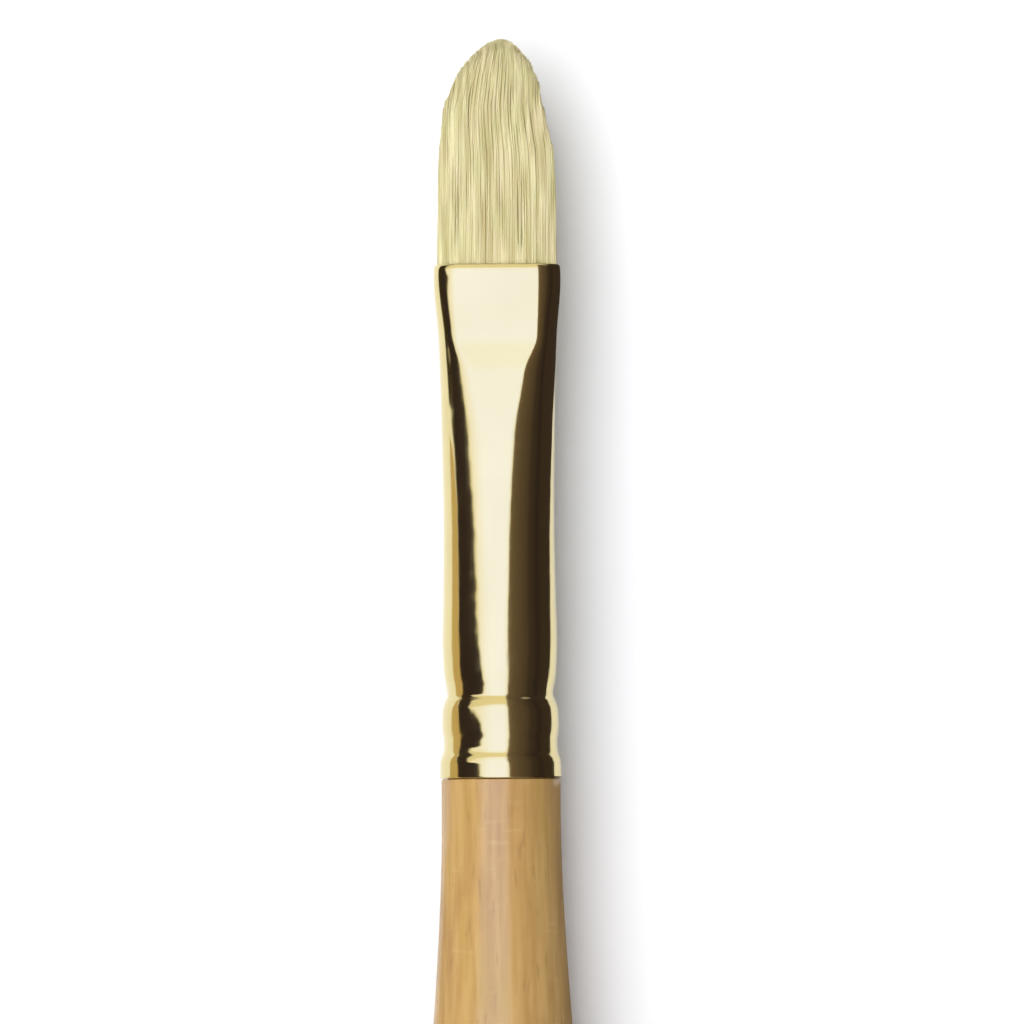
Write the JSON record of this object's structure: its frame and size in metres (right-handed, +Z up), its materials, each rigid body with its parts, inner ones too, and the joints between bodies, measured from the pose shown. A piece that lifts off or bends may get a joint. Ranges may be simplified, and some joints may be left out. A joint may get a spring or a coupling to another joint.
{
  "type": "paint brush",
  "caption": "Long-handled artist's filbert brush: clear-lacquered turned wooden handle, polished gold ferrule pressed flat at its mouth, pale hog bristles domed to a rounded tip.",
  "frame": {"origin": "on the table top that the brush lies on, under the middle of its length and width", "axes": "+Y towards the bristles' tip, +X across the width of the flat, +Z up, out of the upper flat face; the brush's own axis rises 1.08 degrees from +Y towards the tip, because it rests on its belly and its butt"},
  "size_m": [0.0122, 0.2918, 0.0123],
  "materials": {
    "handle_wood": "turned birch under clear gloss lacquer",
    "ferrule_metal": "polished pale gold plating",
    "glue": "set wood glue",
    "setting_resin": "cast amber resin",
    "thread": "waxed cotton thread",
    "bristle": "bleached natural hog bristle, flagged at the tips"
  },
  "bodies": {
    "brush": {"handle": "handle_wood", "handle_glue": "glue", "ferrule": "ferrule_metal", "setting_plug": "setting_resin", "binding_thread": "thread", "bristle_roots": "bristle"},
    "tuft": {"bristles_bottom_1": "bristle", "bristles_bottom_2": "bristle", "bristles_bottom_3": "bristle", "bristles_bottom_4": "bristle", "bristles_bottom_5": "bristle", "bristles_bottom_6": "bristle", "bristles_bottom_7": "bristle", "bristles_core_1": "bristle", "bristles_core_2": "bristle", "bristles_core_3": "bristle", "bristles_core_4": "bristle", "bristles_core_5": "bristle", "bristles_core_6": "bristle", "bristles_core_7": "bristle", "bristles_top_1": "bristle", "bristles_top_2": "bristle", "bristles_top_3": "bristle", "bristles_top_4": "bristle", "bristles_top_5": "bristle", "bristles_top_6": "bristle", "bristles_top_7": "bristle"}
  },
  "joints": [
    {"name": "tuft_flex", "type": "hinge", "parent": "brush", "child": "tuft", "pos_m": [0, 0.12921, 0.00761], "axis": [1, 0, 0], "range_deg": [-24, 24], "stiffness_Nm_per_rad": 0.008}
  ]
}
